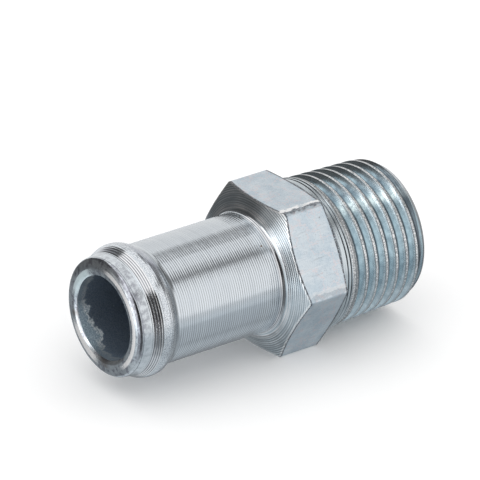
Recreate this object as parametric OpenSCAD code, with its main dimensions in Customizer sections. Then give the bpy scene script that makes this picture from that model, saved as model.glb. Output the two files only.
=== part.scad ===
// Straight hose connector for an oil line, turned in one piece from hexagonal steel bar.
// A beaded hose stem, a spanner hexagon and an external taper pipe thread share one axis,
// and a plain oil passage runs right through. The connector lies on one flat of its hexagon.
// X runs along the axis from the stem's tip to the thread, and Z points up. Sizes in millimetres.

/* [Overall] */
// Length from the stem's tip to the thread's end
total_len = 48.4; // [46:0.1:56]
// Diameter of the oil passage
bore_d = 12; // [11.6:0.1:12.4]
// Countersink of the passage's mouth in the thread's end
end_sink = 0.5; // [0.2:0.1:1]

/* [Hose stem] */
// Diameter of the stem behind the bead
stem_d = 17.1; // [16.6:0.1:17.6]
// Length from the tip to the hexagon's turned face
stem_len = 24.5; // [20:0.1:25]
// Rounding of the corner where the stem meets the hexagon
foot_r = 0.8; // [0.3:0.1:1]
// Diameter at which the tip's rounded face stands furthest out
nose_d = 13.4; // [13.2:0.1:13.8]
// Radius of that face in section, on its outer side
nose_r = 3.2; // [2.5:0.1:5]
// Radius of that face in section, on the passage's side
mouth_r = 1; // [0.8:0.1:1.4]
// Rounding of the tip's outer edge, which stops at a fine line just before the land
tip_r = 0.6; // [0.4:0.1:0.7]

/* [Bead] */
// Diameter of the land between the tip and the bead, at the tip
land_d = 16.9; // [16.5:0.1:17.1]
// How much wider the land is where the bead begins
land_rise = 0.4; // [0.1:0.1:0.5]
// Length from the tip to where the bead begins
land_len = 2.25; // [1.9:0.05:2.4]
// Diameter over the bead
bead_d = 18.9; // [18.6:0.1:19.4]
// Length from the tip to the bead's crest
bead_pos = 4.5; // [4.3:0.1:4.9]
// Radius of the bead's round back in section
bead_r = 2.4; // [2.2:0.1:2.8]
// Radius of the hollow between the bead and the stem
bead_fillet = 1.3; // [1:0.1:2]

/* [Hexagon] */
// Width across the flats
hex_af = 22; // [22:0.1:24]
// Rounding of the six corners between the flats
hex_corner_r = 0.6; // [0.3:0.1:1]
// Length from the tip to the end of the flats, beside the thread
hex_end = 32.9; // [32:0.1:33.1]
// Angle of the turned face on the stem's side, from square to the axis
face_angle = 21; // [10:1:30]
// Angle of the chamfer on the thread's side, from square to the axis
back_angle = 15; // [8:1:35]

/* [Neck] */
// Diameter of the plain neck between the hexagon and the thread
neck_d = 21.7; // [21.6:0.1:21.9]
// Length of the neck
neck_len = 1.95; // [1.5:0.05:2.2]
// Depth of the two fine grooves turned in the neck
score_depth = 0.15; // [0.05:0.05:0.3]
// Width of each fine groove
score_w = 0.26; // [0.1:0.02:0.3]
// Distance from one fine groove to the next
score_step = 0.55; // [0.4:0.05:0.7]

/* [Pipe thread] */
// Pitch of the thread, which has fourteen turns to the inch
thread_pitch = 1.814; // [1.5:0.002:1.9]
// Diameter over the crests at the thread's end
thread_d = 20.7; // [20.2:0.1:20.9]
// Growth of the diameter for each millimetre towards the hexagon
taper = 0.0625; // [0.02:0.0025:0.0625]
// Depth of the thread
thread_depth = 1.05; // [0.5:0.05:1.1]
// Width of the flat crest
crest_w = 0.5; // [0.3:0.05:0.55]
// Angle about the axis at which the groove leaves the thread's end
thread_turn = 97; // [0:1:359]
// Length over which the groove rises out of the metal beside the neck
runout_len = 1.25; // [0.6:0.05:3]
// Length of the lead-in chamfer at the thread's end
lead_len = 1.2; // [0.5:0.1:1.8]
// Angle of the lead-in chamfer to the axis
lead_angle = 30; // [15:1:35]

/* [Hidden] */
$fn = 96;
eps = 0.01;
// How far a cutting shape reaches past the metal, and how far the thread laps onto the neck
past = 1;
thread_lap = 0.15;

bore_r = bore_d / 2;
stem_r = stem_d / 2;
neck_r = neck_d / 2;
land_end_r = land_d / 2 + land_rise / 2;
bar_r = hex_af / sqrt(3) + past;
neck_end = hex_end + neck_len;

thread_columns = 48;
thread_from = neck_end - thread_lap;
thread_len = total_len - thread_from;

// Points along an arc about c, from angle a0 to a1
function arc(c, r, a0, a1, steps = 8) =
    [for (i = [0:steps]) let (a = a0 + (a1 - a0) * i / steps) c + r * [cos(a), sin(a)]];

// Sections are drawn as [radius, height], with the stem's tip at height 0.

// The bead's back is a round that a straight cone meets from the land and a hollow meets from the stem.
bead_centre = [bead_d / 2 - bead_r, bead_pos];
land_to_bead = [land_end_r, land_len] - bead_centre;
bead_from = atan2(land_to_bead[1], land_to_bead[0]) + acos(bead_r / norm(land_to_bead));
hollow_rise = sqrt(pow(bead_r + bead_fillet, 2) - pow(stem_r + bead_fillet - bead_centre[0], 2));
hollow_centre = [stem_r + bead_fillet, bead_pos + hollow_rise];
bead_to = atan2(hollow_rise, hollow_centre[0] - bead_centre[0]);

// The tip's outer edge is a round that touches the face's outer arc and would touch the land.
edge_out = land_d / 2 - tip_r - nose_d / 2;
edge_tilt = asin(edge_out / (nose_r - tip_r));
edge_centre = [land_d / 2 - tip_r, nose_r - (nose_r - tip_r) * cos(edge_tilt)];

// The corner rounding touches both the stem and the sloping turned face.
foot_centre = [stem_r + foot_r, stem_len - foot_r * (1 - sin(face_angle)) / cos(face_angle)];

// Height of the turned face on the stem's side, and of the chamfer on the thread's side, at a radius
function face_height(r) = stem_len + (r - stem_r) * tan(face_angle);
function back_height(r) = hex_end - (r - hex_af / 2) * tan(back_angle);

// A fine groove's three section points, from height z
function score(z) = [
    [neck_r, z], [neck_r - score_depth, z + score_w / 2], [neck_r, z + score_w]
];

// Stem, bead and neck, as one turned core without its passage
module turned_core() {
    rotate_extrude() polygon(concat(
        [[0, mouth_r]],
        arc([nose_d / 2, mouth_r], mouth_r, 180, 270, 8),
        arc([nose_d / 2, nose_r], nose_r, 270, 270 + edge_tilt, 6),
        arc(edge_centre, tip_r, 270 + edge_tilt, 345, 6),
        [[land_end_r, land_len]],
        arc(bead_centre, bead_r, bead_from, bead_to, 12),
        arc(hollow_centre, bead_fillet, 180 + bead_to, 180, 6),
        arc(foot_centre, foot_r, 180, 90 + face_angle, 6),
        [[stem_r + foot_r, (stem_len + hex_end) / 2], [neck_r, (stem_len + hex_end) / 2]],
        score(neck_end - 1.45 * score_w - score_step),
        score(neck_end - 1.45 * score_w),
        [[neck_r, neck_end], [0, neck_end]]
    ));
}

// Section of the bar: a hexagon with each corner rounded by an arc
module bar_section() {
    corner_out = (hex_af - 2 * hex_corner_r) / sqrt(3);
    polygon([for (i = [0:5]) let (turn = 30 + 60 * i)
        each arc(corner_out * [cos(turn), sin(turn)], hex_corner_r, turn - 30, turn + 30, 4)]);
}

// The hexagon, faced and chamfered by turning, so that its flats end in curved edges
module hexagon() {
    intersection() {
        translate([0, 0, stem_len - past])
            linear_extrude(height = hex_end - stem_len + past) bar_section();
        rotate_extrude() polygon([
            [0, face_height(0)], [bar_r, face_height(bar_r)],
            [bar_r, back_height(bar_r)], [hex_af / 2, hex_end], [0, hex_end]
        ]);
    }
}

// Height of the groove's middle at angle a, for the groove that is n turns from the thread's end
function groove_z(n, a) = total_len + thread_pitch * (n + (a - thread_turn) / 360);

// Radius of the uncut taper, and depth of the groove, which rises out of the metal beside the neck
function crest_r(z) = thread_d / 2 + taper / 2 * (total_len - z);
function cut_depth(z) = thread_depth * min(1, max(0.03, (z - thread_from) / runout_len));

// The groove's four section points at angle a: crest, root, root and crest
function groove(n, a) =
    let (
        z = groove_z(n, a),
        depth = cut_depth(z),
        root = (thread_pitch - crest_w - 2 * thread_depth * tan(30)) / 2,
        lip = root + depth * tan(30)
    ) [
        [z - lip, crest_r(z - lip)], [z - root, crest_r(z - root) - depth],
        [z + root, crest_r(z + root) - depth], [z + lip, crest_r(z + lip)]
    ];

// The external taper pipe thread: a right-hand groove with 60 degree flanks, cut into a cone.
// Its points follow the helix, and each column of them stops at the thread's two end planes.
module pipe_thread() {
    first = -ceil(thread_len / thread_pitch) - 3;
    levels = 4 * (3 - first);
    columns = [for (j = [0:thread_columns - 1])
        [for (n = [first:2]) each groove(n, 360 * j / thread_columns)]];
    // The last level at or under the lower plane, and the first at or over the upper plane
    low = [for (c = columns) len([for (p = c) if (p[0] <= thread_from) 1]) - 1];
    high = [for (c = columns) len([for (p = c) if (p[0] < total_len) 1])];
    points = concat(
        [for (j = [0:thread_columns - 1]) for (p = columns[j])
            let (
                z = min(total_len, max(thread_from, p[0])),
                r = lookup(z, columns[j]),
                a = 360 * j / thread_columns
            ) [r * cos(a), r * sin(a), z]],
        [[0, 0, thread_from], [0, 0, total_len]]
    );
    base = thread_columns * levels;
    // After a full turn the column is the first one again, one turn of four levels higher
    function at(j, i) =
        j == thread_columns ? at(0, i + 4) : j * levels + min(high[j], max(low[j], i));
    faces = concat(
        [for (j = [0:thread_columns - 1]) for (i = [0:levels - 2])
            each [[at(j, i), at(j, i + 1), at(j + 1, i + 1)],
                  [at(j, i), at(j + 1, i + 1), at(j + 1, i)]]],
        [for (j = [0:thread_columns - 1])
            each [[base, at(j, 0), at(j + 1, 0)],
                  [base + 1, at(j + 1, levels), at(j, levels)]]]
    );
    difference() {
        polyhedron(points, [for (f = faces) if (f[0] != f[1] && f[1] != f[2] && f[2] != f[0]) f]);
        rotate_extrude() polygon([
            [crest_r(total_len) - lead_len * tan(lead_angle), total_len + eps],
            [crest_r(total_len) + eps, total_len - lead_len],
            [crest_r(total_len) + past, total_len - lead_len],
            [crest_r(total_len) + past, total_len + eps]
        ]);
    }
}

// The oil passage, countersunk at the thread's end
module oil_passage() {
    rotate_extrude() polygon([
        [0, -past], [bore_r, -past], [bore_r, total_len - end_sink],
        [bore_r + end_sink + past, total_len + past], [0, total_len + past]
    ]);
}

module connector_body() {
    color([0.72, 0.76, 0.79])
    translate([-total_len / 2, 0, hex_af / 2]) rotate([0, 90, 0])
    difference() {
        union() {
            turned_core();
            hexagon();
            pipe_thread();
        }
        oil_passage();
    }
}

connector_body();
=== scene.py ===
import math
import random

import bpy
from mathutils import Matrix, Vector


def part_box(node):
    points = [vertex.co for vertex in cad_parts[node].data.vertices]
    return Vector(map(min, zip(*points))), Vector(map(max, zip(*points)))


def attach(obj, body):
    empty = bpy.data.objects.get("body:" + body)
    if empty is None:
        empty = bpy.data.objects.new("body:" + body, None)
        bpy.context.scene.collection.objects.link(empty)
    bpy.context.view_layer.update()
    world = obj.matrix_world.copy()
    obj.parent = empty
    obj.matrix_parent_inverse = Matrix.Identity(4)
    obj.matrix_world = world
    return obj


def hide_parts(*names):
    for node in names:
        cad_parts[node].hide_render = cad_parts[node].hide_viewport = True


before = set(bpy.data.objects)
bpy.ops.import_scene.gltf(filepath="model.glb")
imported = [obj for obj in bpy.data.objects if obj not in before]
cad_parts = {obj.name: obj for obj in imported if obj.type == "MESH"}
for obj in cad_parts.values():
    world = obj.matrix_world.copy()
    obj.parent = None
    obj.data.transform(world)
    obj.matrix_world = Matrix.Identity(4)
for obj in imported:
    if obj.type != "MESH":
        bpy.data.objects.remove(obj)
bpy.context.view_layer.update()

# Looks for an oil pipe connector turned in one piece: beaded hose stem, spanner hexagon and pipe thread.
# X runs along the axis from the stem's tip to the thread, and Z points up.
# The dictionaries are in millimetres and degrees.

mm = 0.001
low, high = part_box("connector_body")
axisHeight = (low.z + high.z) / 2
fullLength = (high.x - low.x) / mm
flatsWidth = (high.z - low.z) / mm
random.seed(14)
print("frame loaded:", round(fullLength, 2), "mm long,", round(flatsWidth, 2), "mm across the flats")

connector = {
    "boreRadius": 6.0, "endSink": 0.5,
    "noseRadius": 6.7, "noseRound": 3.2, "mouthRound": 1.0,
    "lipRadius": 8.45, "lipRounding": 0.6, "lipStop": 105,
    "landRadius": 8.65, "landLength": 2.25,
    "lineStart": 0.12, "lineBottom": 0.04, "lineDepth": 0.06,  # the fine line before the bead
    "beadRadius": 9.45, "beadPlace": 4.5, "beadRound": 2.4, "beadHollow": 1.3,
    "stemRadius": 8.55, "stemLength": 24.5, "footRounding": 0.8,
    "faceAngle": 21, "backAngle": 15, "flatsEnd": 32.9,
    "barRadius": 13.2, "barCornerRounding": 0.6, "cornerCuts": (-24, -12, 0, 12, 24),
    "neckRadius": 10.85, "neckLength": 1.95,
    "undercutBottom": 0.02, "undercutEnd": 0.12, "undercutDepth": 0.06,
    "scoreDepth": 0.15, "scoreWidth": 0.26, "scoreStep": 0.55,
    "scoreFromEnd": 1.45,  # of the last fine groove, in its widths
    "columns": 192, "smoothAngle": 29,
}
thread = {
    "pitch": 25.4 / 14, "depth": 1.05, "crestWidth": 0.5, "crestBreak": 0.05, "flankAngle": 30,
    "endRadius": 10.35, "taper": 0.03125, "leadLength": 1.2, "leadAngle": 30,
    "turnDegrees": 7, "runoutLength": 1.25, "lap": 0.15, "stepsPerTurn": 120,
    "cutterClear": 0.01, "cutterHeight": 0.4,  # over the crests
    "lift": 1.05,  # of the cutter where nothing is cut, in depths
}
feed = {  # spacing and depth of the tool's feed marks on each stretch
    "lip": (0.16, 0.005), "land": (0.2, 0.01), "bead": (0.36, 0.022),
    "stem": (0.36, 0.026), "face": (0.32, 0.022),
}
neckEnd = connector["flatsEnd"] + connector["neckLength"]


def leaveEdit():
    bpy.ops.object.mode_set(mode="OBJECT")


def deselectAll():
    if bpy.context.mode != "OBJECT":
        leaveEdit()
    bpy.ops.object.select_all(action="DESELECT")


def pickOnly(obj):
    deselectAll()
    obj.select_set(True)
    bpy.context.view_layer.objects.active = obj


def editOnly(obj):
    pickOnly(obj)
    bpy.ops.object.mode_set(mode="EDIT")


def pickAllPoints():
    bpy.ops.mesh.select_all(action="SELECT")


# Section points on a round, angles in degrees from the axis direction.
def arc(centre, radius, start, end, steps):
    points = []
    for i in range(steps + 1):
        angle = math.radians(start + (end - start) * i / steps)
        points.append((centre[0] + radius * math.cos(angle), centre[1] + radius * math.sin(angle)))
    return points


# The path with the shallow hollows that a round-nosed tool leaves, one for each turn of the bar.
def feedMarks(path, spacing, depth, samples=4):
    lengths = [0]
    for a, b in zip(path, path[1:]):
        lengths.append(lengths[-1] + math.dist(a, b))
    rings = max(1, round(lengths[-1] / spacing))
    points = []
    segment = 0
    for ring in range(rings):
        ringDepth = depth * random.uniform(0.85, 1.15)
        for i in range(samples):
            along = lengths[-1] * (ring + i / samples) / rings
            while lengths[segment + 1] < along:
                segment += 1
            share = (along - lengths[segment]) / (lengths[segment + 1] - lengths[segment])
            (ax, ar), (bx, br) = path[segment], path[segment + 1]
            sink = ringDepth * (1 - (2 * i / samples - 1) ** 2) / math.dist((ax, ar), (bx, br))
            x = ax + (bx - ax) * share + (br - ar) * sink
            points.append((x, ar + (br - ar) * share - (bx - ax) * sink))
    return points + [path[-1]]


ringPlaces = {}  # where the rings begin and how far apart they are, for the finishes


# Feed marks whose place is kept, along the axis (0) or out from it (1).
def keptFeedMarks(name, path, direction):
    spacing, depth = feed[name]
    start, end = path[0][direction], path[-1][direction]
    rings = max(1, round(sum(math.dist(a, b) for a, b in zip(path, path[1:])) / spacing))
    ringPlaces[name] = (start, (end - start) / rings)
    return feedMarks(path, spacing, depth)


def crestRadius(x):
    return thread["endRadius"] + thread["taper"] * (fullLength - x)


# The passage's rounded mouth, the tip's ridge and outer edge, and the land with its fine line.
def tipSection():
    c = connector
    nose = c["noseRadius"]
    mouthTilt = math.degrees(math.asin((nose - c["boreRadius"]) / c["mouthRound"]))
    lipOut = c["lipRadius"] - c["lipRounding"]
    lipTilt = math.asin((lipOut - nose) / (c["noseRound"] - c["lipRounding"]))
    lipCentre = (c["noseRound"] - (c["noseRound"] - c["lipRounding"]) * math.cos(lipTilt), lipOut)
    lipTilt = math.degrees(lipTilt)
    ridge = arc((c["noseRound"], nose), c["noseRound"], 180, 180 - lipTilt, 8)
    points = arc((c["mouthRound"], nose), c["mouthRound"], 180 + mouthTilt, 180, 8)
    points += feedMarks(ridge, *feed["lip"])[1:]
    points += arc(lipCentre, c["lipRounding"], 180 - lipTilt, c["lipStop"], 7)[1:]
    land = [points[-1], (c["landLength"] - c["lineStart"], c["landRadius"])]
    points += feedMarks(land, *feed["land"])[1:]
    return points + [(c["landLength"] - c["lineBottom"], c["landRadius"] - c["lineDepth"])]


# The bead, which a straight cone meets from the land and a hollow meets from the stem.
def beadSection():
    c = connector
    centre = (c["beadPlace"], c["beadRadius"] - c["beadRound"])
    offset = (c["landLength"] - centre[0], c["landRadius"] - centre[1])
    reach = math.degrees(math.acos(c["beadRound"] / math.hypot(*offset)))
    start = math.degrees(math.atan2(offset[1], offset[0])) - reach
    hollowRadius = c["stemRadius"] + c["beadHollow"]
    rise = math.sqrt((c["beadRound"] + c["beadHollow"]) ** 2 - (hollowRadius - centre[1]) ** 2)
    end = math.degrees(math.atan2(hollowRadius - centre[1], rise))
    bead = [(c["landLength"], c["landRadius"])] + arc(centre, c["beadRound"], start, end, 24)
    hollow = arc((centre[0] + rise, hollowRadius), c["beadHollow"], end - 180, -90, 7)
    return feedMarks(bead, *feed["bead"]) + hollow[1:]


# The stem and its foot from a point on, the hexagon's turned face, and the chamfer behind the flats.
def stemSection(start):
    c = connector
    slope = math.radians(c["faceAngle"])
    foot = c["footRounding"]
    centre = (c["stemLength"] - foot * (1 - math.sin(slope)) / math.cos(slope), c["stemRadius"] + foot)
    points = keptFeedMarks("stem", [start, (centre[0], c["stemRadius"])], 0)[1:]
    points += arc(centre, foot, -90, -math.degrees(slope), 6)[1:]
    faceEnd = (c["stemLength"] + (c["barRadius"] - c["stemRadius"]) * math.tan(slope), c["barRadius"])
    points += keptFeedMarks("face", [points[-1], faceEnd], 1)[1:]
    backDrop = (c["barRadius"] - flatsWidth / 2) * math.tan(math.radians(c["backAngle"]))
    return points + [(c["flatsEnd"] - backDrop, c["barRadius"]), (c["flatsEnd"], flatsWidth / 2)]


# The neck with its two fine grooves, the thread's uncut taper, and the countersunk end.
def neckSection():
    c, t = connector, thread
    points = [(c["flatsEnd"] + c["undercutBottom"], c["neckRadius"] - c["undercutDepth"])]
    points += [(c["flatsEnd"] + c["undercutEnd"], c["neckRadius"])]
    lastScore = neckEnd - c["scoreFromEnd"] * c["scoreWidth"]
    for start in (lastScore - c["scoreStep"], lastScore):
        points += [(start, c["neckRadius"])]
        points += [(start + c["scoreWidth"] / 2, c["neckRadius"] - c["scoreDepth"])]
        points += [(start + c["scoreWidth"], c["neckRadius"])]
    points += [(neckEnd, c["neckRadius"]), (neckEnd, crestRadius(neckEnd))]
    leadStart = fullLength - t["leadLength"]
    leadDrop = t["leadLength"] * math.tan(math.radians(t["leadAngle"]))
    points += [(leadStart, crestRadius(leadStart)), (fullLength, crestRadius(fullLength) - leadDrop)]
    points += [(fullLength, c["boreRadius"] + c["endSink"])]
    return points + [(fullLength - c["endSink"], c["boreRadius"])]


# The closed half section as (place along the axis, radius), from the passage's mouth round the outside.
outline = tipSection() + beadSection()
outline += stemSection(outline[-1]) + neckSection()
print("section drawn up:", len(outline), "points")


# A new object with the closed outline, drawn by extruding one vertex from point to point.
def drawSection(name, points):
    deselectAll()
    bpy.ops.mesh.primitive_plane_add(size=mm)
    obj = bpy.context.object
    obj.name = name
    editOnly(obj)
    bpy.ops.mesh.select_mode(type="VERT")
    pickAllPoints()
    bpy.ops.mesh.merge(type="CENTER")
    bpy.ops.transform.translate(value=(points[0][0] * mm, 0, points[0][1] * mm))
    for (ax, ar), (bx, br) in zip(points, points[1:]):
        step = ((bx - ax) * mm, 0, (br - ar) * mm)
        bpy.ops.mesh.extrude_region_move(TRANSFORM_OT_translate={"value": step})
    bpy.ops.mesh.select_all(action="DESELECT")
    leaveEdit()
    for end in (0, len(obj.data.vertices) - 1):
        obj.data.vertices[end].select = True
    bpy.ops.object.mode_set(mode="EDIT")
    bpy.ops.mesh.edge_face_add()
    leaveEdit()
    return obj


# Puts the object's place into its mesh, with the object itself at the origin.
def settle(obj):
    pickOnly(obj)
    bpy.ops.object.transform_apply(location=True, rotation=True, scale=True)


# Cuts the six flats, and the bar's rounded corners between them, into the turned blank.
def cutFlats(obj):
    c = connector
    rounding = c["barCornerRounding"]
    cornerCentre = (flatsWidth / 2 - rounding) / math.cos(math.radians(30))
    cuts = [(90 + 60 * i, flatsWidth / 2) for i in range(6)]
    for corner in range(6):
        for lean in c["cornerCuts"]:
            reach = cornerCentre * math.cos(math.radians(lean)) + rounding
            cuts.append((60 + 60 * corner + lean, reach))
    editOnly(obj)
    for angle, reach in cuts:
        outward = Vector((0, math.cos(math.radians(angle)), math.sin(math.radians(angle))))
        pickAllPoints()
        bpy.ops.mesh.bisect(plane_co=Vector((0, 0, axisHeight)) + outward * reach * mm, plane_no=outward,
                            use_fill=True, clear_outer=True, threshold=1e-7)
    leaveEdit()


# The groove's section about its middle on the thread's end, reaching out past the crests.
def grooveSection():
    t = thread
    slope = math.tan(math.radians(t["flankAngle"]))
    root = (t["pitch"] - t["crestWidth"]) / 2 - t["depth"] * slope
    lip = root + t["depth"] * slope
    half = [(root, -t["depth"]), (lip - t["crestBreak"] * slope, -t["crestBreak"])]
    half += [(lip + t["crestBreak"], t["cutterClear"]), (lip + t["crestBreak"], t["cutterHeight"])]
    return [(-root, -t["depth"])] + half + [(-x, r) for x, r in reversed(half[1:])]


# The groove of the taper thread as a closed helical bar, which rises out of the metal beside the neck.
def makeThreadCutter():
    t = thread
    turns = math.ceil((fullLength - neckEnd) / t["pitch"]) + 1
    start = fullLength + t["pitch"] * ((90 - t["turnDegrees"]) / 360 - turns)
    cutter = drawSection("threadCutter", [(start + x, t["endRadius"] + r) for x, r in grooveSection()])
    screw = cutter.modifiers.new("helix", "SCREW")
    screw.axis = "X"
    screw.angle = math.radians(360)
    screw.screw_offset = t["pitch"] * mm
    screw.iterations = turns + 1
    screw.steps = screw.render_steps = t["stepsPerTurn"]
    screw.use_merge_vertices = False
    bpy.ops.object.modifier_apply(modifier=screw.name)
    # each point takes on the taper, and is lifted by how far its turn of the groove has run out
    for vertex in cutter.data.vertices:
        radius = math.hypot(vertex.co.y, vertex.co.z) / mm
        angle = math.atan2(vertex.co.z, vertex.co.y)
        turn = (angle - math.radians(t["turnDegrees"])) / math.tau
        x = vertex.co.x / mm
        nearest = round((x - fullLength) / t["pitch"] - turn)
        middle = fullLength + t["pitch"] * (nearest + turn)
        uncut = 1 - min(1, max(0, (middle - neckEnd + t["lap"]) / t["runoutLength"]))
        radius += t["taper"] * (fullLength - x) + uncut * t["depth"] * t["lift"]
        vertex.co.y = radius * mm * math.cos(angle)
        vertex.co.z = radius * mm * math.sin(angle)
    editOnly(cutter)
    pickAllPoints()
    bpy.ops.mesh.fill_holes(sides=0)
    pickAllPoints()
    bpy.ops.mesh.bisect(plane_co=(neckEnd * mm, 0, 0), plane_no=(1, 0, 0), use_fill=True,
                        clear_inner=True, threshold=1e-7)
    pickAllPoints()
    bpy.ops.mesh.normals_make_consistent(inside=False)
    leaveEdit()
    cutter.location = (low.x, 0, axisHeight)
    settle(cutter)
    return cutter


def makeConnector():
    body = drawSection("connector", outline)
    body.location = (low.x, 0, axisHeight)
    settle(body)
    editOnly(body)
    pickAllPoints()
    bpy.ops.mesh.spin(steps=connector["columns"], angle=math.tau, center=(0, 0, axisHeight),
                      axis=(1, 0, 0), use_auto_merge=True)
    pickAllPoints()
    bpy.ops.mesh.remove_doubles(threshold=0.001 * mm)
    bpy.ops.mesh.normals_make_consistent(inside=False)
    leaveEdit()
    print("blank turned:", len(body.data.polygons), "faces")
    cutFlats(body)
    print("flats cut:", len(body.data.polygons), "faces")
    cutter = makeThreadCutter()
    pickOnly(body)
    cut = body.modifiers.new("thread", "BOOLEAN")
    cut.operation = "DIFFERENCE"
    cut.solver = "MANIFOLD"
    cut.object = cutter
    bpy.ops.object.modifier_apply(modifier=cut.name)
    bpy.data.objects.remove(cutter)
    print("thread cut:", len(body.data.polygons), "faces")
    pickOnly(body)
    bpy.ops.object.shade_smooth_by_angle(angle=math.radians(connector["smoothAngle"]))
    even = body.modifiers.new("evenShading", "WEIGHTED_NORMAL")
    even.keep_sharp = True
    bpy.ops.object.modifier_apply(modifier=even.name)
    return body


# Shorthands for nodes

def addNode(tree, kind, **settings):
    node = tree.nodes.new(kind)
    for key, value in settings.items():
        setattr(node, key, value)
    return node


# Wires a socket, or sets a plain number, place or colour.
def join(tree, value, socket):
    if isinstance(value, bpy.types.NodeSocket):
        tree.links.new(value, socket)
    elif socket.type == "RGBA":
        socket.default_value = (*value, 1)
    else:
        socket.default_value = value


def calc(tree, operation, *values):
    node = addNode(tree, "ShaderNodeMath", operation=operation)
    for value, socket in zip(values, node.inputs):
        join(tree, value, socket)
    return node.outputs[0]


# The same operation from one value to the next.
def chain(tree, operation, values):
    total = values[0]
    for value in values[1:]:
        total = calc(tree, operation, total, value)
    return total


def times(tree, *values):
    return chain(tree, "MULTIPLY", values)


def plus(tree, *values):
    return chain(tree, "ADD", values)


def minus(tree, value, less):
    return calc(tree, "SUBTRACT", value, less)


# Degrees from a middle direction, from minus half to half.
def angleFrom(tree, angle, middle, half):
    return calc(tree, "WRAP", minus(tree, angle, middle), half, -half)


# Maps a value smoothly from low..high to toLow..toHigh.
def ramp(tree, value, low, high, toLow=0.0, toHigh=1.0):
    node = addNode(tree, "ShaderNodeMapRange", interpolation_type="SMOOTHSTEP")
    for item, socket in zip((value, low, high, toLow, toHigh), node.inputs):
        join(tree, item, socket)
    return node.outputs[0]


# Full within half the width of the middle, and nothing past the soft edge.
def band(tree, value, middle, width, edge):
    off = calc(tree, "ABSOLUTE", minus(tree, value, middle))
    return ramp(tree, off, width / 2 - edge / 2, width / 2 + edge / 2, 1.0, 0.0)


# A Mix node has its colours on inputs 6 and 7, and the mixed colour on output 2.
def blend(tree, factor, first, second):
    node = addNode(tree, "ShaderNodeMix", data_type="RGBA")
    for value, place in zip((factor, first, second), (0, 6, 7)):
        join(tree, value, node.inputs[place])
    return node.outputs[2]


def noise(tree, vector, scale, detail=2.0, roughness=0.5):
    node = addNode(tree, "ShaderNodeTexNoise")
    settings = {"Vector": vector, "Scale": scale, "Detail": detail, "Roughness": roughness}
    for label, value in settings.items():
        join(tree, value, node.inputs[label])
    return node.outputs["Fac"]


def partsOf(tree, vector):
    node = addNode(tree, "ShaderNodeSeparateXYZ")
    join(tree, vector, node.inputs[0])
    return node.outputs


def vectorOf(tree, *parts):
    node = addNode(tree, "ShaderNodeCombineXYZ")
    for value, socket in zip(parts, node.inputs):
        join(tree, value, socket)
    return node.outputs[0]


# Object coordinates, scaled and then moved.
def objectPoint(tree, shift, scale=1.0):
    place = addNode(tree, "ShaderNodeTexCoord")
    centre = addNode(tree, "ShaderNodeMapping")
    centre.inputs["Location"].default_value = shift
    centre.inputs["Scale"].default_value = (scale, scale, scale)
    tree.links.new(place.outputs["Object"], centre.inputs["Vector"])
    return centre.outputs[0]


# A group's tree and its inner ends. A socket named Point is a vector, and the others are numbers.
def newGroup(name, inputs, outputs):
    tree = bpy.data.node_groups.new(name, "ShaderNodeTree")
    sockets = [(label, "INPUT") for label in inputs] + [(label, "OUTPUT") for label in outputs]
    for label, side in sockets:
        kind = "NodeSocketVector" if label == "Point" else "NodeSocketFloat"
        socket = tree.interface.new_socket(label, in_out=side, socket_type=kind)
        if side == "INPUT" and label != "Point":
            socket.default_value = inputs[label]
    return tree, tree.nodes.new("NodeGroupInput").outputs, tree.nodes.new("NodeGroupOutput").inputs


# Places a group and returns its outputs by name.
def useGroup(tree, group, given):
    node = addNode(tree, "ShaderNodeGroup", node_tree=group)
    for label, value in given.items():
        join(tree, value, node.inputs[label])
    return dict(node.outputs.items())


# Node groups that the finishes share

# Where a point is on the turned piece: mm from the stem's tip, mm from the axis, and degrees round it,
# from 0 on the side of +Y through 90 at the top.
def makeAxisGroup():
    tree, _, out = newGroup("placeOnAxis", {}, ["Point", "Along", "Radius", "Angle"])
    point = objectPoint(tree, (-low.x / mm, 0, -axisHeight / mm), 1 / mm)
    x, y, z = partsOf(tree, point)
    radius = calc(tree, "SQRT", plus(tree, times(tree, y, y), times(tree, z, z)))
    fullTurn = 360.0
    angle = plus(tree, calc(tree, "DEGREES", calc(tree, "ARCTAN2", z, y)), fullTurn)
    for value, socket in zip((point, x, radius, calc(tree, "MODULO", angle, fullTurn)), out):
        join(tree, value, socket)
    return tree


# How far a point is from the hexagon's edges: mm inside the flats' planes, degrees from the nearest
# corner, mm behind the turned face, and mm before the flats' end.
def makeHexagonGroup():
    tree, given, out = newGroup("placeOnHexagon", {"Along": 0.0, "Radius": 0.0, "Angle": 0.0},
                                ["Inside", "Corner", "Behind", "Before"])
    c = connector
    topFlat, firstCorner, halfFlat = 90.0, 120.0, 30.0
    offFlat = angleFrom(tree, given["Angle"], topFlat, halfFlat)
    reach = times(tree, given["Radius"], calc(tree, "COSINE", calc(tree, "RADIANS", offFlat)))
    join(tree, minus(tree, flatsWidth / 2, reach), out["Inside"])
    join(tree, angleFrom(tree, given["Angle"], firstCorner, halfFlat), out["Corner"])
    faceSlope, backSlope = [math.tan(math.radians(c[name])) for name in ("faceAngle", "backAngle")]
    rise = times(tree, minus(tree, given["Radius"], c["stemRadius"]), faceSlope)
    join(tree, minus(tree, minus(tree, given["Along"], rise), c["stemLength"]), out["Behind"])
    back = times(tree, minus(tree, given["Radius"], flatsWidth / 2), backSlope)
    join(tree, minus(tree, minus(tree, c["flatsEnd"], back), given["Along"]), out["Before"])
    return tree


ringPattern = {  # scales along the rings' count, and stretches for each mm round them
    "stretch": 0.05, "fineShare": 0.65, "broadScale": 0.17, "broadShare": 0.35,
    "breakScale": 0.8, "breakStretch": 6.0, "breaks": (0.58, 0.66),
}


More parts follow.
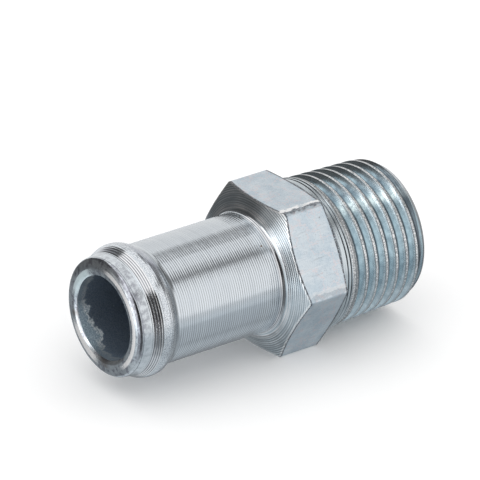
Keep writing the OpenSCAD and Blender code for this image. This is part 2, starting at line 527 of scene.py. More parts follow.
# Fine rings that the turning tool leaves: how high they stand, how pale they look, and where they break.
def makeTurningGroup():
    p = ringPattern
    tree, given, out = newGroup("turningMarks", {"Distance": 0.0, "Point": None, "Spacing": 0.2},
                                ["Height", "Tone", "Line"])
    lines = calc(tree, "DIVIDE", given["Distance"], given["Spacing"])
    y, z = [times(tree, part, p["stretch"]) for part in partsOf(tree, given["Point"])[1:]]
    fine = noise(tree, vectorOf(tree, lines, y, z), 1.0, detail=3.0, roughness=0.6)
    broad = noise(tree, vectorOf(tree, times(tree, lines, p["broadScale"]), y, z), 1.0, detail=1.0)
    join(tree, fine, out["Height"])
    tone = plus(tree, times(tree, fine, p["fineShare"]), times(tree, broad, p["broadShare"]))
    join(tree, tone, out["Tone"])
    y, z = [times(tree, part, p["breakStretch"]) for part in (y, z)]
    breaks = noise(tree, vectorOf(tree, times(tree, lines, p["breakScale"]), y, z), 1.0)
    join(tree, ramp(tree, breaks, *p["breaks"]), out["Line"])
    return tree


# The plating's own look: soft clouds, a fine grain, and a few dark specks.
def makeGrainGroup():
    tree, given, out = newGroup("zincGrain", {"Point": None, "Cloud Size": 3.0, "Grain Size": 0.12},
                                ["Cloud", "Grain", "Speck"])
    cloudScale = calc(tree, "DIVIDE", 1.0, given["Cloud Size"])
    grainScale = calc(tree, "DIVIDE", 1.0, given["Grain Size"])
    speckScale, speckShare = 1.9, (0.65, 0.7)
    join(tree, noise(tree, given["Point"], cloudScale, detail=4.0, roughness=0.6), out["Cloud"])
    join(tree, noise(tree, given["Point"], grainScale, detail=3.0, roughness=0.7), out["Grain"])
    specks = noise(tree, given["Point"], speckScale, detail=5.0, roughness=0.75)
    join(tree, ramp(tree, specks, *speckShare), out["Speck"])
    return tree


placeOnAxis = makeAxisGroup()
placeOnHexagon = makeHexagonGroup()
turningMarks = makeTurningGroup()
zincGrain = makeGrainGroup()


# Finishes. Each has marks, painted in their order. A mark has a colour, a strength, and the values that
# bound it, multiplied together. Three numbers are a band on the value (middle, width and soft edge), and
# four are a ramp (from, to, and what it gives at either end). In a list the strongest counts.

asItIs = None  # the value is a mask already


def boundedBy(tree, value, bounds):
    if bounds is asItIs:
        return value
    if isinstance(bounds, list):
        return chain(tree, "MAXIMUM", [boundedBy(tree, value, each) for each in bounds])
    shape = band if len(bounds) == 3 else ramp
    return shape(tree, value, *bounds)


def maskOf(tree, values, bounds):
    if isinstance(bounds, list):
        return chain(tree, "MAXIMUM", [maskOf(tree, values, each) for each in bounds])
    return times(tree, *[boundedBy(tree, values[name], each) for name, each in bounds.items()])


# Returns the painted colour, and each mark's mask.
def paintMarks(tree, colour, values, marks):
    masks = {}
    for name, (tint, strength, bounds) in marks.items():
        masks[name] = maskOf(tree, values, bounds)
        weight = masks[name] if strength == 1 else times(tree, masks[name], strength)
        colour = blend(tree, weight, colour, tint)
    return colour, masks


# A metal with its own Principled shader: the material, its tree, the shader's inputs, and the values.
def newFinish(name, look):
    finish = bpy.data.materials.new(name)
    finish.use_nodes = True
    tree = finish.node_tree
    shader = tree.nodes["Principled BSDF"].inputs
    shader["Metallic"].default_value = 1.0
    values = useGroup(tree, placeOnAxis, {})
    grain = {"Point": values["Point"], "Cloud Size": look["cloudSize"], "Grain Size": look["grainSize"]}
    values.update(useGroup(tree, zincGrain, grain))
    return finish, tree, shader, values


def addRings(tree, values, along, spacing):
    given = {"Distance": values[along], "Point": values["Point"], "Spacing": spacing}
    values.update(useGroup(tree, turningMarks, given))


def addHexagonPlace(tree, values):
    given = {name: values[name] for name in ("Along", "Radius", "Angle")}
    values.update(useGroup(tree, placeOnHexagon, given))


def addBump(tree, height, distance, shader):
    bump = addNode(tree, "ShaderNodeBump")
    bump.inputs["Distance"].default_value = distance * mm
    join(tree, height, bump.inputs["Height"])
    tree.links.new(bump.outputs[0], shader["Normal"])


# The middle of each hollow that the tool left, as thin lines.
def hollows(tree, name, value, width, edge=0.2):
    start, spacing = ringPlaces[name]
    step = calc(tree, "FRACT", calc(tree, "DIVIDE", minus(tree, value, start), spacing))
    return band(tree, step, 0.5, width, edge)


# Wires a finish that isn't turned: its tones and marks, its roughness and its bump.
def wireFinish(tree, shader, values, look):
    tone, *tones = look["tones"]
    colour = blend(tree, ramp(tree, values[tone], *tones), look["darkest"], look["palest"])
    join(tree, paintMarks(tree, colour, values, look["marks"])[0], shader["Base Color"])
    rough, *limits = look["roughness"]
    join(tree, ramp(tree, values[rough], *limits), shader["Roughness"])
    height = plus(tree, *[times(tree, values[name], share) for name, share in look["bump"].items()])
    addBump(tree, height, look["height"], shader)


turnedLook = {  # for the stem, the hexagon's face and the neck alike
    "cloudSize": 3.0, "grainSize": 0.12, "ringShare": 0.6, "cloudShare": 0.4, "tones": (0.35, 0.65),
    "roughnessSpread": 0.1, "grainHeight": 0.3, "lineColour": (0.28, 0.31, 0.34),
    "marks": {
        "darkGrain": ((0.3, 0.33, 0.36), 1, {"Grain": (0.42, 0.32, 0.0, 0.3)}),
        "specks": ((0.3, 0.3, 0.3), 0.35, {"Speck": asItIs}),
    },
}


# Turned and plated: fine rings, clouded plating and a soft grain. Returns the blended colour too,
# so that a finish can add marks of its own before it is wired.
def turnedMetal(name, look, along):
    t = turnedLook
    finish, tree, shader, values = newFinish(name, t)
    addRings(tree, values, along, look["ringSpacing"])
    tone = plus(tree, times(tree, values["Tone"], t["ringShare"]),
                times(tree, values["Cloud"], t["cloudShare"]))
    colour = blend(tree, ramp(tree, tone, *t["tones"]), look["darkest"], look["palest"])
    marks = {"toolLines": (t["lineColour"], look["lines"], {"Line": asItIs}), **t["marks"]}
    colour, _ = paintMarks(tree, colour, values, marks)
    spread = t["roughnessSpread"]
    rough = plus(tree, look["roughness"] - spread / 2, times(tree, values["Cloud"], spread))
    join(tree, rough, shader["Roughness"])
    height = plus(tree, values["Height"], times(tree, values["Grain"], t["grainHeight"]))
    addBump(tree, height, look["ringHeight"], shader)
    return finish, tree, shader, values, colour


onTip = (0.55, 0.75, 1, 0)  # along the axis
spotty = (0.42, 0.55, 0.4, 0.9)
stemLook = {
    "palest": (0.7, 0.74, 0.77), "darkest": (0.61, 0.65, 0.69), "roughness": 0.15,
    "ringSpacing": 0.09, "ringHeight": 0.004, "lines": 0.1, "hollowWidth": 0.4, "hollowFade": 0.1,
    "blotchScale": 1.3,
    "rubbed": (68, 66, 20),  # the angles at which the painted shade in the stem's hollows fades out
    "coarseSpacing": 0.42, "coarseFront": (2.9, 1.2, 0.2), "coarseFootLength": 0.6, "coarseFade": 0.15,
    "grooveBand": (0.5, 0.4, 0.2), "betweenBand": (0.5, 0.5, 0.2),
    "spotAlong": 22.9, "spotAngle": 128, "spotScale": 0.15,  # mm for each degree
    # the painted highlights and painted reflection on the tip and in the mouth, and how metallic the
    # metal is under them
    "paintedHighlights": ("ridgeHighlight", "lowHighlight", "mouthReflection"), "highlightMetallic": 0.6,
    "marks": {
        # painted shade in the deep tool marks on the bead's front and beside the hexagon, with painted
        # highlights between them, and painted shade in the hollows on the stem
        "highlightBetween": ((1.0, 0.95, 0.94), 0.5, {
            "Between": asItIs, "Coarse": asItIs, "Angle": (84, 94, 0, 1)}),
        "stemHollowShade": ((0.24, 0.26, 0.29), 1, {
            "Hollow": asItIs, "OnStem": asItIs, "Cloud": (0.3, 0.7, 0.3, 0.6),
            "Rubbed": (0, 1, 1, 0.2)}),
        "deepMarkShade": ((0.16, 0.17, 0.19), 1, {
            "Groove": asItIs, "Coarse": asItIs, "Cloud": (0.3, 0.7, 0.55, 1)}),
        # the bead has speckled painted shade on its front at two angles, with painted glints, a grainy
        # crest, painted shade on its back, and painted shade in the hollow behind it
        "shadedFront": ((0.13, 0.13, 0.16), 1, {
            "Angle": [(70, 18, 22), (164, 16, 16)], "Along": (2.9, 1.0, 0.3),
            "Grain": (0.36, 0.6, 0.75, 0.4)}),
        "paintedGlints": ((1, 1, 1), 1, {
            "Angle": (158, 44, 16), "Along": (2.9, 1.2, 0.3), "Grain": (0.56, 0.61, 0, 0.9)}),
        "beadGrain": ((0.25, 0.26, 0.3), 1, {"Along": (4.7, 2.0, 0.6), "Grain": (0.5, 0.38, 0, 0.7)}),
        "beadSparks": ((1, 1, 1), 1, {"Along": (4.5, 2.4, 0.6), "Grain": (0.55, 0.62, 0, 0.7)}),
        "shadedBack": ((0.4, 0.42, 0.48), 1, {
            "Along": (5.3, 1.6, 0.6), "Angle": (104, 40, 25), "Cloud": (0.35, 0.6, 0.35, 0.9)}),
        "shadeBehindBead": ((0.22, 0.24, 0.26), 1, {
            "Along": (6.45, 0.3, 0.25), "Angle": (122, 56, 30), "Cloud": (0.3, 0.6, 0.4, 0.85)}),
        # one brown speck on the stem near the hexagon
        "brownSpeck": ((0.2, 0.13, 0.09), 1, {"Spot": (0.008, 0.03, 1, 0)}),
        # a fine line of painted shade at the tip's edge, blotches on the tip and the land, and blotchy
        # painted shade on the tip's outer rounding
        "edgeLine": ((0.12, 0.14, 0.16), 0.7, {"Along": (0.8, 0.14, 0.08), "Radius": (8.2, 8.35, 0, 1)}),
        "darkBlotches": ((0.26, 0.26, 0.31), 1, {
            "Along": (0.5, 2.2, 0.65, 0), "Blotch": (0.5, 0.38, 0, 1)}),
        "paleBlotches": ((0.86, 0.91, 0.95), 1, {
            "Along": (2.1, 2.3, 1, 0), "Blotch": (0.52, 0.66, 0, 0.3)}),
        # painted shade, in blotches, on the tip's outer rounding at the angles where it mirrors dark
        # surroundings
        "darkOutside": ((0.2, 0.2, 0.23), 1, {
            "Along": onTip, "Radius": (7.75, 7.95, 0, 1), "Angle": (148, 100, 30), "Blotch": spotty}),
        "landStreaks": ((0.27, 0.28, 0.31), 1, {
            "Along": (1.4, 1.2, 0.3), "Angle": (136, 76, 25), "Blotch": (0.58, 0.4, 0.22, 0.62)}),
        # brown marks in the mouth, painted highlights on the tip's ridge and below it, and a painted
        # reflection in the mouth
        "brownMarks": ((0.24, 0.18, 0.15), 1, {
            "Angle": [(344, 8, 8), (264, 14, 12)], "Blotch": spotty, "Radius": (7.0, 7.3, 0.65, 0)}),
        "ridgeHighlight": ((1.0, 0.98, 0.97), 0.85, {
            "Along": onTip, "Radius": (7.2, 0.6, 0.2), "Angle": (161, 134, 24)}),
        "lowHighlight": ((1.0, 0.98, 0.97), 0.85, {
            "Along": onTip, "Radius": (6.9, 1.0, 0.2), "Angle": (306, 54, 18)}),
        "mouthReflection": ((0.72, 0.85, 0.88), 0.85, {"Radius": (6.9, 7.1, 1, 0), "Angle": (36, 50, 22)}),
        "innerLines": ((0.35, 0.38, 0.42), 0.7, {
            "Along": onTip, "Radius": [(6.72, 0.14, 0.1), (7.5, 0.1, 0.1)], "Angle": (150, 100, 30)}),
    },
}


def makeStemFinish():
    look = stemLook
    finish, tree, shader, values, colour = turnedMetal("turnedStem", look, "Along")
    along = values["Along"]
    stemStart = ringPlaces["stem"][0]
    values["Hollow"] = hollows(tree, "stem", along, look["hollowWidth"])
    values["OnStem"] = ramp(tree, along, stemStart - look["hollowFade"], stemStart + look["hollowFade"])
    values["Rubbed"] = band(tree, values["Angle"], *look["rubbed"])
    across = calc(tree, "DIVIDE", plus(tree, along, values["Radius"]), look["coarseSpacing"])
    across = calc(tree, "FRACT", across)
    values["Groove"] = band(tree, across, *look["grooveBand"])
    values["Between"] = minus(tree, 1.0, band(tree, across, *look["betweenBand"]))
    footStart = connector["stemLength"] - look["coarseFootLength"]
    foot = ramp(tree, along, footStart, footStart + look["coarseFade"])
    values["Coarse"] = calc(tree, "MAXIMUM", band(tree, along, *look["coarseFront"]), foot)
    values["Blotch"] = noise(tree, values["Point"], look["blotchScale"], detail=4.0, roughness=0.6)
    offAlong = minus(tree, along, look["spotAlong"])
    offRound = times(tree, minus(tree, values["Angle"], look["spotAngle"]), look["spotScale"])
    values["Spot"] = plus(tree, times(tree, offAlong, offAlong), times(tree, offRound, offRound))
    colour, masks = paintMarks(tree, colour, values, look["marks"])
    # the metal is less metallic under the painted highlights and painted reflection
    paintedLight = chain(tree, "MAXIMUM", [masks[name] for name in look["paintedHighlights"]])
    join(tree, ramp(tree, paintedLight, 0.0, 1.0, 1.0, look["highlightMetallic"]), shader["Metallic"])
    join(tree, colour, shader["Base Color"])
    return finish


faceLook = {
    "palest": (0.86, 0.9, 0.92), "darkest": (0.48, 0.54, 0.58), "roughness": 0.13,
    "ringSpacing": 0.16, "ringHeight": 0.005, "lines": 0.25, "hollowWidth": 0.45,
    "marks": {
        # painted shade in the tool's hollows on the face
        "faceHollowShade": ((0.24, 0.27, 0.3), 1, {"Hollow": asItIs, "Cloud": (0.3, 0.7, 0.35, 0.65)}),
        # two painted highlight rings just outside the stem's foot, and a pale burr along the flats'
        # front edges that is partly a painted highlight where the edge catches light
        "footHighlightRings": ((1.0, 0.96, 0.96), 1, {
            "Radius": [(9.2, 0.14, 0.08), (9.5, 0.1, 0.08)], "Cloud": (0.35, 0.6, 0.4, 0.9)}),
        "burrAndHighlight": ((1, 1, 1), 0.95, {"Inside": (0.14, 0.3, 1, 0), "Grain": (0.4, 0.55, 0.3, 1)}),
    },
}


# The hexagon's turned face, and also its rear chamfer and the thread's end.
def makeFaceFinish():
    look = faceLook
    finish, tree, shader, values, colour = turnedMetal("facedHexagon", look, "Radius")
    values["Hollow"] = hollows(tree, "face", values["Radius"], look["hollowWidth"])
    addHexagonPlace(tree, values)
    join(tree, paintMarks(tree, colour, values, look["marks"])[0], shader["Base Color"])
    return finish


# bounds for the corner stripe and its borders, which are partly wear and partly painted highlight and
# shade
wearAndHighlight = {"Cloud": (0.32, 0.5, 0.35, 1), "Worst": (0, 1, 0.12, 1)}
flatsLook = {
    "cloudSize": 2.2, "grainSize": 0.16,
    "darkest": (0.48, 0.57, 0.64), "palest": (0.64, 0.71, 0.76), "tones": ("Cloud", 0.35, 0.65),
    "roughness": ("Cloud", 0.3, 0.7, 0.28, 0.4), "bump": {"Cloud": 1, "Grain": 0.3, "Scratch": 0.3},
    "height": 0.035, "scratchScale": (0.25, 4.0, 4.0), "veinScale": 0.35,
    "raggedScale": 0.9, "raggedness": 7.0,  # in degrees
    "wornAndLitCorners": {(120, 50, 10): 1.0, (180, 40, 10): 0.35},  # angles, and how strongly the corner shows its wear and painted highlight
    "marks": {
        "speckle": ((0.95, 0.97, 1.0), 0.22, {"Grain": (0.36, 0.64, 0, 1)}),
        "darkGrain": ((0.3, 0.34, 0.38), 1, {"Grain": (0.42, 0.3, 0, 0.4)}),
        "pinkVeins": ((0.8, 0.67, 0.67), 0.55, {"Vein": (0.5, 0.02, 0.02)}),
        "paleScratches": ((0.86, 0.88, 0.9), 1, {"Scratch": (0.6, 0.68, 0, 0.35)}),
        "darkScratches": ((0.36, 0.39, 0.42), 1, {"Scratch": (0.38, 0.32, 0, 0.35)}),
        "specks": ((0.2, 0.19, 0.19), 0.7, {"Speck": asItIs}),
        # dark dashes along the front and rear edges
        "edgeDashes": ((0.05, 0.05, 0.06), 0.95, [
            {"Behind": (0.18, 0.32, 1, 0), "Grain": (0.36, 0.48, 0, 1)},
            {"Before": (0.14, 0.28, 1, 0), "Grain": (0.36, 0.48, 0, 1)}]),
        # a white stripe with dark borders beside one corner, and faint ones beside the others: partly
        # wear and nicks, partly a painted highlight with painted shade beside it
        "bordersNicksAndShade": ((0.12, 0.13, 0.15), 0.95, {
            "Wear": (-3.0, 5.0, 1.2), "Grain": (0.4, 0.52, 0.3, 1), **wearAndHighlight}),
        "stripeWearAndHighlight": ((1, 1, 1), 1, {"Wear": (-4.6, 2.4, 0.9), **wearAndHighlight}),
    },
}


# The bar's drawn flats: dull, mottled plating with scratches and nicks, and corners that are partly worn
# and partly painted with highlight and shade.
def makeFlatsFinish():
    look = flatsLook
    finish, tree, shader, values = newFinish("drawnFlats", look)
    addHexagonPlace(tree, values)
    point = values["Point"]
    values["Vein"] = noise(tree, point, look["veinScale"], detail=5.0, roughness=0.6)
    parts = zip(partsOf(tree, point), look["scratchScale"])
    stretched = [times(tree, part, scale) for part, scale in parts]
    values["Scratch"] = noise(tree, vectorOf(tree, *stretched), 1.0, detail=3.0, roughness=0.6)
    ragged = minus(tree, noise(tree, point, look["raggedScale"], detail=4.0, roughness=0.65), 0.5)
    # degrees from the nearest corner with a ragged edge, for the stripe of wear and painted highlight
    values["Wear"] = plus(tree, values["Corner"], times(tree, ragged, look["raggedness"]))
    corners = look["wornAndLitCorners"].items()
    corners = [times(tree, band(tree, values["Angle"], *place), share) for place, share in corners]
    values["Worst"] = chain(tree, "MAXIMUM", corners)
    wireFinish(tree, shader, values, look)
    return finish


neckLook = {
    "palest": (0.64, 0.69, 0.72), "darkest": (0.47, 0.53, 0.56), "roughness": 0.18,
    "ringSpacing": 0.06, "ringHeight": 0.012, "lines": 0.5,
    "marks": {  # painted shadow beside the flats, and painted shade in the two grooves
        "darkLines": ((0.08, 0.1, 0.12), 1, [
            {"PastFlats": (0.3, 0.42, 0.85, 0), "Grain": (0.35, 0.5, 0, 1)},
            {"UnderNeck": (0.1, 0.02, 0.85, 0)}]),
    },
}


def makeNeckFinish():
    finish, tree, shader, values, colour = turnedMetal("turnedNeck", neckLook, "Along")
    values["PastFlats"] = minus(tree, values["Along"], connector["flatsEnd"])
    values["UnderNeck"] = minus(tree, connector["neckRadius"], values["Radius"])
    join(tree, paintMarks(tree, colour, values, neckLook["marks"])[0], shader["Base Color"])
    return finish


flankLook = {
    "cloudSize": 1.4, "grainSize": 0.1, "mottleScale": 1.2, "ringSpacing": 0.16,
    "darkest": (0.54, 0.64, 0.69), "palest": (0.64, 0.74, 0.785), "tones": ("Cloud", 0.35, 0.65),
    "roughness": ("Mottle", 0.35, 0.65, 0.24, 0.12), "bump": {"Grain": 1, "Mottle": 1}, "height": 0.012,
    "marks": {
        "darkMottle": ((0.32, 0.39, 0.44), 1, {"Mottle": (0.5, 0.38, 0, 0.2)}),
        "paleMottle": ((0.84, 0.94, 0.98), 1, {"Mottle": (0.52, 0.64, 0, 0.25)}),
        # a painted highlight along one side, and painted shade beside it
        "sideHighlight": ((0.93, 1.0, 1.0), 0.75, {"Angle": (122.5, 9, 7), "Mottle": (0.38, 0.52, 0.3, 1)}),
        "sideShade": ((0.22, 0.27, 0.32), 1, {"Angle": (107, 14, 7), "Mottle": (0.35, 0.6, 0.55, 0.2)}),
        # painted shade in the roots and just under the crests
        "rootShade": ((0.08, 0.1, 0.12), 1, {"UnderCrests": (0.76, 0.96, 0, 0.7)}),
        "rimShade": ((0.16, 0.18, 0.2), 1, {"UnderCrests": (0.08, 0.16, 0.35, 0)}),
        "darkGrain": ((0.25, 0.3, 0.34), 1, {"Grain": (0.4, 0.3, 0, 0.35)}),
        # the lead-in is greyer, with worn dark lines
        "greyLeadIn": ((0.6, 0.63, 0.65), 0.7, {"FromEnd": (1.4, 1.0, 0, 1)}),
        "leadInLines": ((0.12, 0.13, 0.15), 1, {
            "FromEnd": (1.4, 1.0, 0, 1), "Tone": (0.46, 0.5, 0.75, 0)}),
    },
}


# The thread's flanks: bluish passivated zinc, with painted shade in the roots and just under the crests,
# and a painted highlight with painted shade along one side.
def makeFlankFinish():
    look = flankLook
    finish, tree, shader, values = newFinish("threadFlank", look)
    addRings(tree, values, "Along", look["ringSpacing"])
    values["FromEnd"] = minus(tree, fullLength, values["Along"])
    crests = plus(tree, times(tree, values["FromEnd"], thread["taper"]), thread["endRadius"])
    values["UnderCrests"] = minus(tree, crests, values["Radius"])
    values["Mottle"] = noise(tree, values["Point"], look["mottleScale"], detail=5.0, roughness=0.65)
    wireFinish(tree, shader, values, look)
    return finish


crestLook = {
    "cloudSize": 0.8, "grainSize": 0.2, "ringSpacing": 0.12,
    "darkest": (0.36, 0.39, 0.41), "palest": (1, 1, 1), "tones": ("Grain", 0.4, 0.6),
    "roughness": ("Cloud", 0.3, 0.7, 0.3, 0.46), "bump": {"Grain": 1}, "height": 0.045,
    "marks": {
        # painted shade on the crests at the top
        "topShade": ((0.2, 0.21, 0.23), 0.4, {"Angle": (66, 26, 30)}),
        # painted shade along the crests' far edges, and dark lines on the worn first turns beside the
        # neck
        "darkLines": ((0.1, 0.11, 0.12), 1, [
            {"Phase": (0.62, 0.08, 0.03), "Grain": (0.3, 0.5, 0.4, 0.95)},
            {"PastNeck": (0.9, 1.5, 0.6, 0), "Tone": (0.46, 0.5, 1, 0)}]),
    },
}


# The thread's crests: rough, grainy and a little warm, with painted shade at the top and along their far
# edges.
def makeCrestFinish():
    look = crestLook
    finish, tree, shader, values = newFinish("threadCrest", look)
    addRings(tree, values, "Along", look["ringSpacing"])
    turn = calc(tree, "DIVIDE", minus(tree, values["Angle"], thread["turnDegrees"]), 360.0)
    pitches = calc(tree, "DIVIDE", minus(tree, values["Along"], fullLength), thread["pitch"])
    values["Phase"] = calc(tree, "FRACT", minus(tree, pitches, turn))
    values["PastNeck"] = minus(tree, values["Along"], neckEnd)
    wireFinish(tree, shader, values, look)
    return finish


passageLook = {
    "cloudSize": 1.6, "grainSize": 0.18, "height": 0.02,
    "thickest": (322, 60, 40),  # the angles at which the plating goes deepest
    "platedReach": (0, 1, 3.2, 4.6), "bare": (-0.15, 0.25),
    "roughness": (0, 1, 0.35, 0.55), "metallic": (0, 1, 0.35, 0.75),
    "platedColour": (0.3, 0.4, 0.49), "bareColour": (0.18, 0.23, 0.3),
    "platedMarks": {
        "flecks": ((0.85, 0.98, 1.0), 0.55, {"Grain": (0.46, 0.6, 0, 1)}),
        "border": ((0.95, 1.0, 1.0), 1, {"Edge": (-0.2, 0.5, 0.4), "Grain": (0.42, 0.55, 0.2, 1)}),
        "thinSide": ((0.14, 0.17, 0.2), 1, {"Thick": (0, 1, 0.75, 0)}),
    },
    "bareMarks": {
        "grain": ((0.26, 0.32, 0.39), 1, {"Grain": (0.4, 0.6, 0, 1)}),
        "specks": ((0.8, 0.85, 0.9), 0.6, {"Speck": asItIs}),
    },
}


# The passage: plated only near its mouth, with a ragged edge, and dark and dull further in.
def makePassageFinish():
    look = passageLook
    finish, tree, shader, values = newFinish("passageWall", look)
    values["Thick"] = band(tree, values["Angle"], *look["thickest"])
    reach = times(tree, values["Cloud"], ramp(tree, values["Thick"], *look["platedReach"]))
    values["Edge"] = minus(tree, values["Along"], reach)
    bare = ramp(tree, values["Edge"], *look["bare"])
    plated, _ = paintMarks(tree, look["platedColour"], values, look["platedMarks"])
    deep, _ = paintMarks(tree, look["bareColour"], values, look["bareMarks"])
    join(tree, blend(tree, bare, plated, deep), shader["Base Color"])
    join(tree, ramp(tree, bare, *look["roughness"]), shader["Roughness"])
    join(tree, ramp(tree, bare, *look["metallic"]), shader["Metallic"])
    addBump(tree, values["Grain"], look["height"], shader)
    return finish


finishes = [
    makeStemFinish(), makeFaceFinish(), makeFlatsFinish(), makeNeckFinish(),
    makeFlankFinish(), makeCrestFinish(), makePassageFinish(),
]
stemFinish, faceFinish, flatFinish, neckFinish, flank, crest, passage = range(len(finishes))
sorting = {  # limits that tell faces apart, in mm, and in how far a face looks along the axis
    "mouthDepth": 0.4, "boreSlack": 0.05, "footSlack": 0.1, "edgeSlack": 0.005, "neckSlack": 0.01,
    "crestSlack": 0.1, "flat": 0.1, "crest": 0.2, "end": 0.9,
}


# Which finish a face takes, by its place and the way it looks.
def finishFor(face):
    c, s = connector, sorting
    x = (face.center.x - low.x) / mm
    radius = math.hypot(face.center.y, face.center.z - axisHeight) / mm
    outward = face.normal.x
    if radius < c["boreRadius"] + s["boreSlack"] and x > s["mouthDepth"]:
        return passage
    if x < c["stemLength"] or radius < c["stemRadius"] + s["footSlack"] and x < c["flatsEnd"]:
        return stemFinish
    if x < c["flatsEnd"] + s["edgeSlack"]:
        return flatFinish if abs(outward) < s["flat"] else faceFinish
    if x < neckEnd + s["neckSlack"]:
        return neckFinish
    if outward > s["end"]:
        return faceFinish
    if abs(outward) < s["crest"] and radius > crestRadius(x) - s["crestSlack"]:
        return crest
    return flank


def dress(body):
    body.data.materials.clear()
    for finish in finishes:
        body.data.materials.append(finish)
    for face in body.data.polygons:
        face.material_index = finishFor(face)


# Studio

camera = {"aim": (-6.63, -7.26, 21.02), "azimuth": -38.43, "elevation": 26.99, "roll": 2.04,
          "distance": 762.3, "lens": 422.5, "nearest": 50, "furthest": 20000}
studio = {
    "floorSize": 6000, "floorColour": (1, 1, 1, 1), "floorRoughness": 0.9, "floorGloss": 0.2,
    "roomLight": 1.1,
    "lamps": [  # azimuth, elevation, distance, width, height, brightness
        ("leftSoftbox", -108, 30, 500, 160, 330, 0.3),
        ("frontSoftbox", 18, 35, 500, 330, 420, 0.3),
    ],
    "tentRadius": 300, "tentLight": 1.12, "panelEdge": 5,
    "lowTint": (0.93, 1.0, 1.05), "tintFade": (0, -30),  # the elevations over which the tint comes in
    "panels": [  # what the metal mirrors: name, azimuth from and to, elevation from and to, brightness
        ("table", -180, 180, -90, -20, 0.43),
        ("tableNear", -180, 180, -90, -58, 0.62),
        ("tableFront", -8, 52, -56, -18, 0.6),
        ("tableLeftLow", -112, -70, -50, -32, 0.62),
        ("tableLeft", -112, -70, -34, -18, 0.78),
        ("tableBack", -182, -125, -56, -18, 0.28),
        ("tableRight", 56, 125, -42, -18, 0.34),
        ("tableBackRight", 105, 160, -58, -18, 0.3),
        ("backRightBox", 110, 163, -20, 47, 0.86),
        ("rightWall", 50, 110, -20, 27, 0.5),
        ("rightGap", 50, 110, 27, 50, 0.2),
        ("frontBoxLow", -8, 52, -26, -8, 0.78),
        ("frontBox", -6, 50, -10, 45, 1.1),
        ("overheadGapFront", 14, 70, 47, 56, 0.42),
        ("overheadGapRight", 104, 142, 45, 60, 0.26),
        ("cameraWall", -70, -12, -42, 42, 0.2),
        ("cameraItself", -60, -18, 2, 44, 0.06),
        ("leftWall", -96, -68, -22, 30, 1.15),
        ("leftBoxLow", -112, -86, -20, 13, 1.75),
        ("leftBoxHigh", -100, -85, 6, 50, 2.4),
        ("backLeftGap", -127, -113, -20, 40, 0.42),
        ("backLeftGapHigh", -127, -108, 13, 46, 0.36),
        ("leftBoxTop", -112, -85, 32, 52, 2.2),
        ("backLeftWall", -187, -125, -20, 46, 0.14),
        ("backLeftWallTop", -172, -132, 8, 46, 0.09),
    ],
}


# From the object towards an azimuth (0 is -Y, 90 is +X) and an elevation.
def direction(azimuth, elevation):
    a, e = math.radians(azimuth), math.radians(elevation)
    return Vector((math.sin(a) * math.cos(e), -math.cos(a) * math.cos(e), math.sin(e)))


def makeCamera():
    back = direction(camera["azimuth"], camera["elevation"])
    aim = Vector(camera["aim"]) * mm
    deselectAll()
    bpy.ops.object.camera_add(location=aim + back * camera["distance"] * mm)
    view = bpy.context.object
    view.rotation_euler = (-back).to_track_quat("-Z", "Y").to_euler()
    view.rotation_euler.rotate_axis("Z", math.radians(camera["roll"]))
    view.data.lens = camera["lens"]
    view.data.clip_start = camera["nearest"] * mm
    view.data.clip_end = camera["furthest"] * mm
    bpy.context.scene.camera = view


def makeFloor():
    deselectAll()
    bpy.ops.mesh.primitive_plane_add(size=studio["floorSize"] * mm)
    floor = bpy.context.object
    floor.name = "floor"
    paper = bpy.data.materials.new("floorPaper")
    paper.use_nodes = True
    shader = paper.node_tree.nodes["Principled BSDF"].inputs
    shader["Base Color"].default_value = studio["floorColour"]
    shader["Roughness"].default_value = studio["floorRoughness"]
    shader["Specular IOR Level"].default_value = studio["floorGloss"]
    floor.data.materials.append(paper)
    floor.visible_glossy = False  # the metal mirrors the tent instead


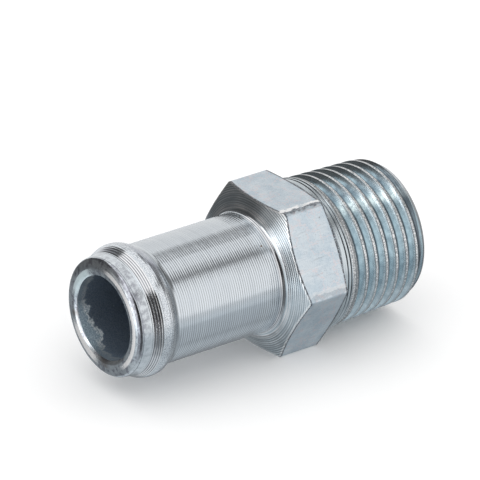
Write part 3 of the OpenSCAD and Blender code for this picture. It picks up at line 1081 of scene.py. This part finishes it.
# A white tent with brighter and darker panels hung in it, each with soft edges.
def paintTent():
    paintwork = bpy.data.materials.new("tentPanels")
    paintwork.use_nodes = True
    tree = paintwork.node_tree
    tree.nodes.remove(tree.nodes["Principled BSDF"])
    x, y, z = partsOf(tree, objectPoint(tree, (0, 0, -axisHeight)))
    azimuth = calc(tree, "DEGREES", calc(tree, "ARCTAN2", x, times(tree, y, -1.0)))
    height = calc(tree, "DIVIDE", z, studio["tentRadius"] * mm)
    elevation = calc(tree, "DEGREES", calc(tree, "ARCSINE", height))
    light = studio["tentLight"]
    edge = studio["panelEdge"]
    for name, left, right, bottom, top, brightness in studio["panels"]:
        across = angleFrom(tree, azimuth, (left + right) / 2, 180.0)
        inside = times(tree, band(tree, across, 0.0, right - left, edge),
                       band(tree, elevation, (bottom + top) / 2, top - bottom, edge))
        panel = addNode(tree, "ShaderNodeMix", data_type="FLOAT")
        for value, place in zip((inside, light, brightness), (0, 2, 3)):
            join(tree, value, panel.inputs[place])
        light = panel.outputs[0]
    glow = addNode(tree, "ShaderNodeEmission")
    join(tree, light, glow.inputs["Strength"])
    tint = blend(tree, ramp(tree, elevation, *studio["tintFade"]), (1, 1, 1), studio["lowTint"])
    join(tree, tint, glow.inputs["Color"])
    tree.links.new(glow.outputs[0], tree.nodes["Material Output"].inputs["Surface"])
    return paintwork


# The tent stands round the object and shows only in the metal.
def makeTent():
    deselectAll()
    bpy.ops.mesh.primitive_uv_sphere_add(segments=96, ring_count=48, radius=studio["tentRadius"] * mm,
                                         location=(0, 0, axisHeight))
    tent = bpy.context.object
    tent.name = "tent"
    settle(tent)
    tent.data.materials.append(paintTent())
    for way in ("camera", "diffuse", "transmission", "volume_scatter", "shadow"):
        setattr(tent, "visible_" + way, False)


def makeLamps():
    for name, azimuth, elevation, distance, width, height, brightness in studio["lamps"]:
        towards = direction(azimuth, elevation)
        deselectAll()
        place = towards * distance * mm + Vector((0, 0, axisHeight))
        bpy.ops.object.light_add(type="AREA", location=place)
        lamp = bpy.context.object
        lamp.name = name
        lamp.rotation_euler = towards.to_track_quat("Z", "Y").to_euler()
        lamp.data.shape = "RECTANGLE"
        lamp.data.size = width * mm
        lamp.data.size_y = height * mm
        lamp.data.energy = brightness * math.pi * width * height * mm * mm
        lamp.visible_camera = False
        lamp.visible_glossy = False
    world = bpy.data.worlds.new("room")
    bpy.context.scene.world = world
    world.use_nodes = True
    room = world.node_tree.nodes["Background"].inputs
    room["Color"].default_value = (1, 1, 1, 1)
    room["Strength"].default_value = studio["roomLight"]


body = makeConnector()
dress(body)
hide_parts("connector_body")
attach(body, "root")
print("connector finished with", len(finishes), "finishes")
makeCamera()
makeFloor()
makeTent()
makeLamps()
bpy.context.scene.view_settings.view_transform = "Standard"
print("studio set")
